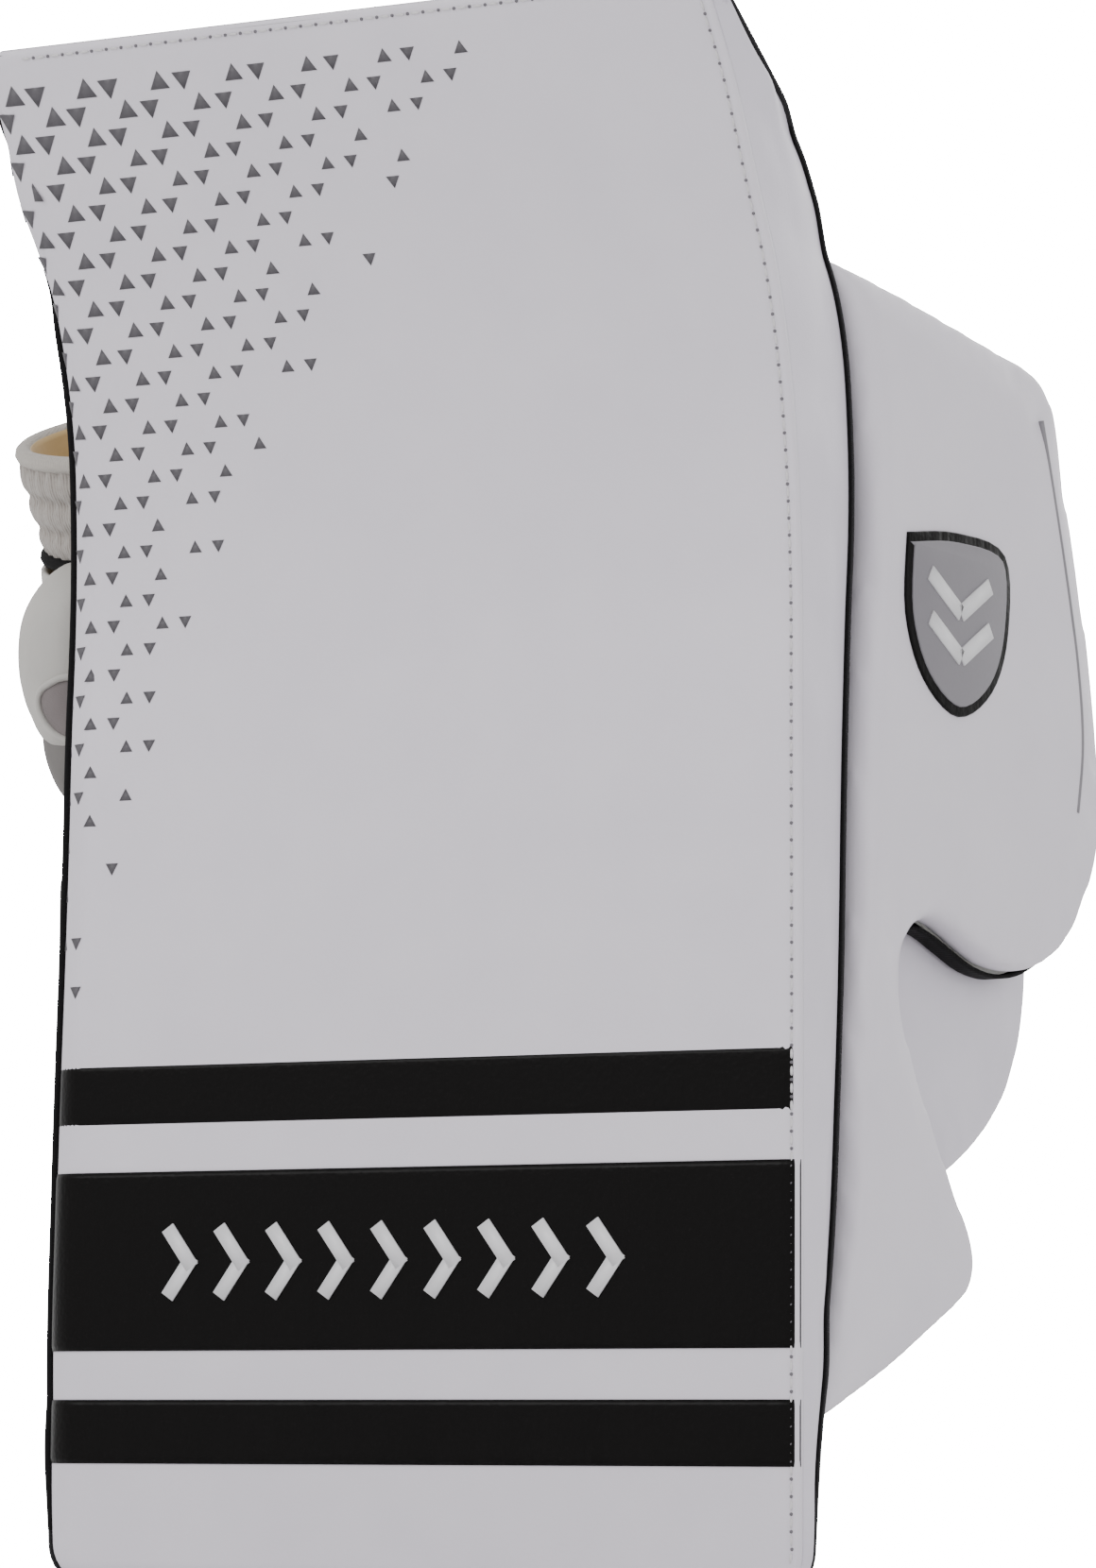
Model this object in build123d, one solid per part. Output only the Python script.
"""Goalie blocker for a left hand: curved board, side flap, padded glove, thumb guard and wrist cuff.

Millimetres. X runs across the board towards the side flap, -Y is the way the board faces, +Z is up.
The origin is on the flat front face, half way across the board and level with the stick grip.
Every function below returns the solids of one group of pieces as a dictionary of node name to solid.
"""
from build123d import *
import math
import os

# ---- board: driving dimensions -------------------------------------------------------------
BOARD_LEFT = -90.0
BOARD_RIGHT = 87.0
BOARD_BOTTOM = -102.0
FLAT_TOP = 95.0
CURL_RADIUS = 208.0
CURL_ANGLE = 27.5
CURL_STRAIGHT = 44.0
SKIN = 1.2
FRONT_FOAM = 3.0
STIFFENER = 1.6
STRIPE_THICKNESS = 0.6
STRIPE_EDGES = {"stripe_upper": (-3.7, 9.9), "stripe_middle": (-53.0, -13.9), "stripe_lower": (-77.5, -63.7)}
PIPING = 2.4
# depth of the board's back at heights up the board, from the bottom edge to the bevelled top
BACK_PROFILE = [
    (7, -102), (12, -69), (20, -40), (26, 0), (30.5, 70), (35, 130), (31, 166), (20, 185), (4, 202)
]

# ---- side flap and inner guard -------------------------------------------------------------
FLAP_SPLAY = 14.0
FLAP_ROOT = (87.0, 24.0)
FLAP_FOAM = 8.0
FLAP_PLATE = 1.4
FLAP_GAP = 0.8
FLAP_BINDING = 1.6
GUARD_OFFSET = 15.0
GUARD_THICKNESS = 14.0

# ---- glove ---------------------------------------------------------------------------------
HAND_LEFT = -107.0
HAND_RIGHT = -26.0
GLOVE_BACK_Y = 48.0
PALM_Y = 74.0
KNUCKLE_Z = 70.0
MID_JOINT_Z = 35.0
LEATHER = 2.0
FINGERS = ("index", "middle", "ring", "little")
FINGER_PITCH = 19.6
FINGER_WIDTH = 18.6
FINGER_WALL = 2.2
FINGER_REACH = 50.0
JOINT_GAP = 0.6
# the tab ends below the lowest point that the curling thumb reaches
ROLL_TAB_TOP = 67.0

# ---- wrist cuff and strap ------------------------------------------------------------------
CUFF_CENTRE = (-87.0, 78.0, 140.0)
CUFF_LEAN = 25.0
CUFF_HEIGHT = 26.0
CUFF_BOTTOM_AXES = (46.0, 29.0)
CUFF_RIM_AXES = (49.0, 32.0)
CUFF_WALL = 3.0
LINING = 1.2
STRAP_WIDTH = 19.0
STRAP_THICKNESS = 1.8

# ---- thumb ---------------------------------------------------------------------------------
THUMB_X = -121.5
THUMB_Y = 64.0
THUMB_TOP = 126.0
THUMB_TIP = 74.0
THUMB_WIDTH = 19.0
THUMB_DEPTH = 24.0
# height, half-width and half-depth of the padded guard's sections
THUMB_PAD_SECTIONS = [(76.0, 2.4, 12.0), (108.0, 4.2, 15.0), (128.0, 2.4, 11.0)]

# ---- fasteners -----------------------------------------------------------------------------
SCREW_RADIUS = 2.0
SCREW_HEAD_RADIUS = 4.2
WASHER_RADIUS = 6.5
SCREW_POINTS = [(-80, 84), (-80, 116), (-44, 84), (-44, 116)]
WASHER_THICKNESS = 1.4
SCREW_HEAD_HEIGHT = 2.4
NUT_DEPTH = 9.0

YZ_LEFT_TO_RIGHT = Plane(origin=(0, 0, 0), x_dir=(0, 1, 0), z_dir=(1, 0, 0))


def front_points(inset, foot):
    """Key points of the front profile, set back by inset: foot, curl's start, middle and end, top."""
    radius = CURL_RADIUS + inset
    angle = math.radians(CURL_ANGLE)
    points = [(inset, foot)]
    for turn in (0.0, angle / 2, angle):
        points.append((radius * math.cos(turn) - CURL_RADIUS, FLAT_TOP + radius * math.sin(turn)))
    last_y, last_z = points[-1]
    points.append((last_y - CURL_STRAIGHT * math.sin(angle), last_z + CURL_STRAIGHT * math.cos(angle)))
    return points


def front_edges(points):
    """Line, arc and line along the front profile."""
    foot, start, middle, end, top = points
    return [Line(foot, start), ThreePointArc(start, middle, end), Line(end, top)]


def back_points(inset):
    """Back profile moved forward by inset."""
    return [(y - inset, z) for y, z in BACK_PROFILE]


def across(edges, left, right):
    """Closed profile in the Y-Z plane, drawn out across the board from left to right."""
    outline = Wire(edges)
    return extrude(YZ_LEFT_TO_RIGHT.offset(left) * Face(outline), right - left, dir=(1, 0, 0))


def front_layer(outer, inner, left, right):
    """Sheet between two depths behind the front face."""
    a = front_points(outer, BOARD_BOTTOM)
    b = front_points(inner, BOARD_BOTTOM)
    return across(front_edges(a) + front_edges(b) + [Line(a[0], b[0]), Line(a[-1], b[-1])], left, right)


def board_section(front_inset, back_inset, end_inset, left, right):
    """Whole board section between the front profile, the back profile and the bevelled top."""
    front = front_points(front_inset, BOARD_BOTTOM + end_inset)
    back = back_points(back_inset)
    back[0] = (back[0][0], BOARD_BOTTOM + end_inset)
    top_front = (front[-1][0] + end_inset, front[-1][1] - 1.6 * end_inset)
    front[-1] = top_front
    back[-1] = (back[-1][0], back[-1][1] - end_inset)
    edges = front_edges(front) + [Spline(*back), Line(front[0], back[0]), Line(front[-1], back[-1])]
    return across(edges, left, right)


def make_board():
    """Foam board: skins, two foams, the stiff sheet between them, piping and the sewn stripes."""
    left = BOARD_LEFT + SKIN
    right = BOARD_RIGHT - SKIN
    whole = board_section(0, 0, 0, BOARD_LEFT, BOARD_RIGHT)
    inside = board_section(SKIN, SKIN, SKIN, left, right)
    shell = whole - inside
    sheet_back = SKIN + FRONT_FOAM + STIFFENER
    parts = {}
    parts["board_face"] = front_layer(0, SKIN, left, right) & whole
    parts["board_side_left"] = shell & Pos(BOARD_LEFT + SKIN / 2, 0, 60) * Box(SKIN, 200, 400)
    parts["board_side_right"] = shell & Pos(BOARD_RIGHT - SKIN / 2, 0, 60) * Box(SKIN, 200, 400)
    rest = shell & Pos((left + right) / 2, 0, 60) * Box(right - left, 200, 400)
    rest = rest - parts["board_face"]
    bottom_cut = Pos(0, 0, BOARD_BOTTOM) * Box(400, 100, 2 * SKIN)
    top_cut = Pos(0, -60, 216) * Box(400, 128, 60)
    parts["board_bottom_end"] = rest & bottom_cut
    parts["board_top_end"] = rest & top_cut
    parts["board_back"] = rest - bottom_cut - top_cut
    parts["board_front_foam"] = front_layer(SKIN, SKIN + FRONT_FOAM, left, right) & inside
    parts["board_stiffener"] = front_layer(SKIN + FRONT_FOAM, sheet_back, left, right) & inside
    core_cut = front_layer(-60, sheet_back, left - 1, right + 1)
    parts["board_core"] = inside - core_cut
    return parts


def inlay_stripes(parts):
    """Three dark bands let into the flat of the face, flush with it."""
    for name, (low, high) in STRIPE_EDGES.items():
        centre = Pos((BOARD_LEFT + BOARD_RIGHT) / 2, STRIPE_THICKNESS / 2, (low + high) / 2)
        stripe = centre * Box(BOARD_RIGHT - BOARD_LEFT - 2 * SKIN, STRIPE_THICKNESS, high - low)
        parts["board_face"] = parts["board_face"] - stripe
        parts[name] = stripe


def make_piping():
    """Round-edged bead that finishes the back edge down both sides of the board."""
    back = back_points(0)
    rear = [(y + PIPING, z) for y, z in back]
    edges = [Spline(*back), Spline(*rear), Line(back[0], rear[0]), Line(back[-1], rear[-1])]
    left = across(edges, BOARD_LEFT, BOARD_LEFT + PIPING)
    right = across(edges, BOARD_RIGHT - PIPING, BOARD_RIGHT)
    return {"rear_piping": Compound([left, right])}


def back_depth(height):
    """Depth of the board's back at a height, found by halving along the back curve."""
    curve = Spline(*BACK_PROFILE)
    low, high = 0.0, 1.0
    for _ in range(30):
        middle = (low + high) / 2
        if (curve @ middle).Y < height:
            low = middle
        else:
            high = middle
    return (curve @ low).X


def board_room():
    """Space that the board and its piping take, grown backwards by the sewing gap."""
    return board_section(0, -(PIPING + FLAP_GAP), 0, BOARD_LEFT - 1, BOARD_RIGHT + 1)


def flap_plane():
    """Plane of the flap's outer face: x runs back from the board, y runs up, the normal faces outwards."""
    turn = math.radians(FLAP_SPLAY)
    back = (math.sin(turn), math.cos(turn), 0)
    outward = (math.cos(turn), -math.sin(turn), 0)
    return Plane(origin=(FLAP_ROOT[0], FLAP_ROOT[1], 0), x_dir=back, z_dir=outward)


def root_depth(height, clearance):
    """How far along the flap its sewn edge lies at a height."""
    return (back_depth(height) + PIPING + clearance - FLAP_ROOT[1]) / math.cos(math.radians(FLAP_SPLAY))


def sink_from(plane, start, outline, thickness):
    """Solid of an outline in a plane, from a depth behind the plane and further back from it."""
    return extrude(plane.offset(-start) * outline, thickness, dir=-plane.z_dir)


def flap_outline(clearance):
    """Outline of the flap: sloping top, blunt rear edge, notch for the stick shaft and lower lobe."""
    root = [(root_depth(z, clearance), z) for z in (-68, -30, 10, 70, 130, 166, 181)]
    top_front = root[-1]
    edges = [Spline(*root), Line(top_front, (82, 170.5)), ThreePointArc((82, 170.5), (88, 167.5), (91, 161))]
    edges += [Spline((91, 161), (100, 126), (107, 94), (108, 72), tangents=[(0.2, -1), (-0.1, -1)])]
    edges += [Line((108, 72), (92, 40)), ThreePointArc((92, 40), (85, 34), (76, 32.5))]
    edges += [Spline((76, 32.5), (60, 35), (40, 42), (27, 34), (27, 18), (43, -12), (53, -32))]
    edges += [ThreePointArc((53, -32), (51, -39), (44, -43)), Spline((44, -43), (24, -52), root[0])]
    return edges


def make_flap():
    """Side flap: cover, foam, stiff plate and lining, with a bound edge round the notch."""
    plane = flap_plane()
    outline = Face(Wire(flap_outline(FLAP_GAP)))
    depth = {"flap_cover": (0, SKIN), "flap_foam": (SKIN, SKIN + FLAP_FOAM)}
    plate_back = SKIN + FLAP_FOAM + FLAP_PLATE
    depth["flap_plate"] = (SKIN + FLAP_FOAM, plate_back)
    depth["flap_lining"] = (plate_back, plate_back + SKIN)
    parts = {}
    for name, (near, far) in depth.items():
        parts[name] = sink_from(plane, near, outline, far - near)
    notch = Spline((76, 32.5), (60, 35), (40, 42), (27, 34), (27, 18), (43, -12), (53, -32))
    rim = Spline((76, 30.9), (60, 33.4), (41, 40), (28.6, 33), (28.6, 18.4), (44.6, -12), (54.6, -32))
    ends = [Line((76, 32.5), (76, 30.9)), Line((53, -32), (54.6, -32))]
    edge = Face(Wire([notch, rim] + ends))
    parts["flap_binding"] = sink_from(plane, SKIN, edge, FLAP_FOAM + FLAP_PLATE)
    for name in ("flap_foam", "flap_plate"):
        parts[name] = parts[name] - parts["flap_binding"]
    room = board_room()
    for name in parts:
        parts[name] = parts[name] - room
    return parts


def guard_outline(inset):
    """Outline of the guard pad inside the flap."""
    base_low = root_depth(-26, inset)
    base_high = root_depth(92, inset)
    edges = [Line((base_low, -26 + inset), (70, -14 + inset))]
    edges += [Spline((70, -14 + inset), (88 - inset, -3), (104 - inset, 22), (104 - inset, 60))]
    edges.append(Spline((104 - inset, 60), (92 - inset, 86), (70, 92 - inset)))
    edges.append(Line((70, 92 - inset), (base_high, 92 - inset)))
    edges += [Line((base_high, 92 - inset), (base_low, -26 + inset))]
    return edges


def make_guard():
    """Padded guard beside the little finger, closing the notch from the inside."""
    plane = flap_plane()
    outline = Face(Wire(guard_outline(1.0)))
    outer = sink_from(plane, GUARD_OFFSET, outline, GUARD_THICKNESS)
    inner_outline = Face(Wire(guard_outline(1.0 + SKIN)))
    core = sink_from(plane, GUARD_OFFSET + SKIN, inner_outline, GUARD_THICKNESS - 2 * SKIN)
    edge = sink_from(plane, GUARD_OFFSET + GUARD_THICKNESS, outline, FLAP_BINDING)
    room = board_room()
    return {"guard_cover": outer - core - room, "guard_foam": core - room, "guard_binding": edge - room}


def block(x0, x1, y0, y1, z0, z1):
    """Box between two corners."""
    return Pos((x0 + x1) / 2, (y0 + y1) / 2, (z0 + z1) / 2) * Box(x1 - x0, y1 - y0, z1 - z0)


def sleeve_strip(points, thickness, left, right):
    """Leather strip that follows points in the Y-Z plane with an even thickness in depth."""
    far = [(y + thickness, z) for y, z in points]
    return across(Polyline(*points, *reversed(far), close=True).edges(), left, right)


def make_glove():
    """Hand pocket: back, palm, side gussets, grip patch, and the pad between the glove and the board."""
    back = [(GLOVE_BACK_Y - LEATHER, KNUCKLE_Z), (GLOVE_BACK_Y - LEATHER, 118), (46.8, 130)]
    palm = [(PALM_Y, KNUCKLE_Z + JOINT_GAP), (PALM_Y, 112), (101.0, 146)]
    parts = {}
    parts["glove_back"] = sleeve_strip(back, LEATHER, HAND_LEFT, HAND_RIGHT)
    parts["palm"] = sleeve_strip(palm, LEATHER, HAND_LEFT, HAND_RIGHT)
    edge = HAND_RIGHT - LEATHER
    parts["little_side_gusset"] = block(edge, HAND_RIGHT, GLOVE_BACK_Y, PALM_Y, KNUCKLE_Z, 112)
    parts["thumb_side_gusset"] = block(HAND_LEFT, HAND_LEFT + LEATHER, GLOVE_BACK_Y, PALM_Y, KNUCKLE_Z, 112)
    patch_face = PALM_Y + LEATHER
    parts["palm_patch"] = block(HAND_LEFT + 8, HAND_RIGHT - 8, patch_face, patch_face + LEATHER, 73, 98)
    pad = block(HAND_LEFT + 5, HAND_RIGHT - 5, 37.5, GLOVE_BACK_Y - LEATHER, KNUCKLE_Z, 126)
    recess = [Pos(x, 42, z) * Rot(90, 0, 0) * Cylinder(WASHER_RADIUS + 0.5, 12) for x, z in SCREW_POINTS]
    parts["backhand_pad"] = fillet(pad.edges().filter_by(Axis.Y), 8) - recess
    roll = block(HAND_LEFT - 10, HAND_LEFT - 0.5, GLOVE_BACK_Y, PALM_Y - 2, 26, 62)
    parts["index_roll"] = fillet(roll.edges().filter_by(Axis.Z), 4)
    parts["index_roll_tab"] = block(HAND_LEFT - 8, HAND_LEFT - 0.5, GLOVE_BACK_Y, PALM_Y - 2, 62, ROLL_TAB_TOP)
    return parts


def finger_centre(number):
    """X of one finger, counted from the thumb side."""
    return HAND_LEFT + 2 + FINGER_WIDTH / 2 + number * FINGER_PITCH


def make_fingers():
    """Finger stalls: a straight base below each knuckle and a bent tip that curls back round the stick."""
    parts = {}
    half = FINGER_WIDTH / 2
    hollow = half - FINGER_WALL
    front = GLOVE_BACK_Y + 0.5
    rear = PALM_Y - 1
    for number, name in enumerate(FINGERS):
        x = finger_centre(number)
        base = block(x - half, x + half, front, rear, MID_JOINT_Z + JOINT_GAP, KNUCKLE_Z - JOINT_GAP)
        base = fillet(base.edges().filter_by(Axis.Z), 5)
        bore = block(x - hollow, x + hollow, front + FINGER_WALL, rear - FINGER_WALL, 0, 100)
        parts[name + "_stall_base"] = base - fillet(bore.edges().filter_by(Axis.Z), 3)
        reach = front + FINGER_REACH
        tip = block(x - half, x + half, front, reach, 13, MID_JOINT_Z)
        tip = fillet(tip.edges().filter_by(Axis.Y), 5)
        tip = fillet(tip.faces().sort_by(Axis.Y)[-1].edges(), 3)
        long_way = block(x - hollow, x + hollow, front + FINGER_WALL, reach - FINGER_WALL, 15.5, 32.5)
        mouth = block(x - hollow, x + hollow, front + FINGER_WALL, rear - FINGER_WALL, 30, 50)
        parts[name + "_stall_tip"] = tip - long_way - mouth
    return parts


def cuff_plane():
    """Plane of the cuff's lower edge, leaning so that its opening faces up and forward."""
    lean = math.radians(CUFF_LEAN)
    return Plane(origin=CUFF_CENTRE, x_dir=(1, 0, 0), z_dir=(0, -math.sin(lean), math.cos(lean)))


def flared(inset, low, high):
    """Solid of oval section that widens from the cuff's lower edge to its rim."""
    plane = cuff_plane()
    slices = []
    for height in (low, high):
        share = height / CUFF_HEIGHT
        axes = [a + (b - a) * share - inset for a, b in zip(CUFF_BOTTOM_AXES, CUFF_RIM_AXES)]
        slices.append(plane.offset(height) * Ellipse(*axes))
    return loft(slices)


def oval_band(inner_gap, thickness, low, high, start, end):
    """Part of an upright oval band round the cuff between two angles, counted from +X towards +Y."""
    axes = [a + inner_gap for a in CUFF_RIM_AXES]
    ring = Ellipse(axes[0] + thickness, axes[1] + thickness) - Ellipse(axes[0], axes[1])
    reach = 120.0
    angles = [math.radians(start + (end - start) * step / 4) for step in range(5)]
    corners = [(0, 0)] + [(reach * math.cos(a), reach * math.sin(a)) for a in angles]
    sector = make_face(Polyline(*corners, close=True))
    return extrude(cuff_plane().offset(low) * (ring & sector), high - low, dir=cuff_plane().z_dir)


def make_cuff():
    """Wrist cuff: knit band, lining, rim binding, lower piping, and the loop half of the closure."""
    wall = CUFF_WALL
    parts = {}
    parts["cuff_band"] = flared(0, 2, CUFF_HEIGHT - 2.5) - flared(wall, 1, CUFF_HEIGHT)
    parts["cuff_lining"] = flared(wall, 2, CUFF_HEIGHT - 2.5) - flared(wall + LINING, 1, CUFF_HEIGHT)
    rim = flared(-0.4, CUFF_HEIGHT - 2.5, CUFF_HEIGHT)
    parts["cuff_binding"] = rim - flared(wall + LINING, 20, CUFF_HEIGHT + 1)
    parts["cuff_piping"] = flared(0, 0, 2) - flared(wall + LINING, -1, 3)
    parts["loop_patch"] = oval_band(0.1, 0.9, 4, 4 + STRAP_WIDTH - 3, 75, 140)
    parts["strap_anchor"] = oval_band(0.1, 1.4, 3, 3 + STRAP_WIDTH, 2, 12)
    return parts


def make_strap():
    """Wrist strap and its hook patch, wrapped round the palm side of the cuff."""
    near = 1.5
    parts = {}
    parts["strap"] = oval_band(near + 0.9, STRAP_THICKNESS, 3, 3 + STRAP_WIDTH, 14, 150)
    parts["hook_patch"] = oval_band(near, 0.9, 4, 4 + STRAP_WIDTH - 3, 80, 135)
    parts["strap_tab"] = oval_band(near + 0.9, STRAP_THICKNESS, 5, 1 + STRAP_WIDTH, 150, 158)
    return parts


def make_thumb():
    """Thumb: stall, stiff insert, padded guard and its lower edge patch."""
    x0 = THUMB_X - THUMB_WIDTH / 2
    x1 = THUMB_X + THUMB_WIDTH / 2
    y0 = THUMB_Y - THUMB_DEPTH / 2
    y1 = THUMB_Y + THUMB_DEPTH / 2
    stall = fillet(block(x0, x1, y0, y1, THUMB_TIP, THUMB_TOP).edges().filter_by(Axis.Z), 6)
    wall = 2.5
    bore = block(x0 + wall, x1 - wall, y0 + wall, y1 - wall, THUMB_TIP + 3, THUMB_TOP + 9)
    bore = fillet(bore.edges().filter_by(Axis.Z), 4)
    parts = {"thumb_stall": stall - bore}
    insert = block(x0 - 1.7, x0 - 0.1, y0 + 4, y1 - 4, THUMB_TIP + 4, THUMB_TOP - 4)
    parts["thumb_insert"] = insert
    centre = (x0 - 1.8, THUMB_Y)
    half = Pos(-10, 0) * Rectangle(20, 60)
    sections = []
    for height, width, depth in THUMB_PAD_SECTIONS:
        sections.append(Plane.XY.offset(height) * Pos(*centre) * (Ellipse(width, depth) & half))
    lower, middle, upper = sections
    parts["thumb_guard"] = loft([lower, middle]) + loft([middle, upper])
    parts["thumb_patch"] = block(x0 + 2, x1 - 2, y0 - 2.2, y0 - 0.1, THUMB_TIP + 4, THUMB_TIP + 22)
    return parts


def make_fasteners():
    """Screws and washers that hold the glove pad to the board."""
    screws = []
    washers = []
    for x, z in SCREW_POINTS:
        face = max(back_depth(z - WASHER_RADIUS), back_depth(z + WASHER_RADIUS)) + 0.1
        turned = Pos(x, 0, z) * Rot(-90, 0, 0)
        shank_length = face + WASHER_THICKNESS - NUT_DEPTH
        shank = Pos(0, 0, NUT_DEPTH + shank_length / 2) * Cylinder(SCREW_RADIUS, shank_length)
        seat = face + WASHER_THICKNESS + SCREW_HEAD_HEIGHT / 2
        head = Pos(0, 0, seat) * Cylinder(SCREW_HEAD_RADIUS, SCREW_HEAD_HEIGHT)
        screws.append(turned * (shank + head))
        ring = Cylinder(WASHER_RADIUS, WASHER_THICKNESS) - Cylinder(SCREW_RADIUS, 2)
        washers.append(turned * Pos(0, 0, face + WASHER_THICKNESS / 2) * ring)
    return {"glove_screws": Compound(screws), "glove_washers": Compound(washers)}


def drill_for_screws(parts):
    """Clearance holes for the screws through the back skin and the core."""
    for x, z in SCREW_POINTS:
        hole = Pos(x, 0, z) * Rot(-90, 0, 0) * Pos(0, 0, 30) * Cylinder(SCREW_RADIUS + 0.05, 42)
        for name in ("board_core", "board_back"):
            parts[name] = parts[name] - hole


def write(parts):
    """Write one file for each node."""
    os.makedirs("parts", exist_ok=True)
    for name, shape in parts.items():
        solids = shape.solids()
        body = solids[0] if len(solids) == 1 else Compound(solids)
        body.label = name
        export_step(body, os.path.join("parts", name + ".step"))


def main():
    """Build every group and write it."""
    parts = make_board()
    parts.update(make_fasteners())
    drill_for_screws(parts)
    inlay_stripes(parts)
    for make in (make_piping, make_flap, make_guard, make_glove, make_fingers):
        parts.update(make())
    parts.update(make_cuff())
    parts.update(make_strap())
    parts.update(make_thumb())
    write(parts)


main()
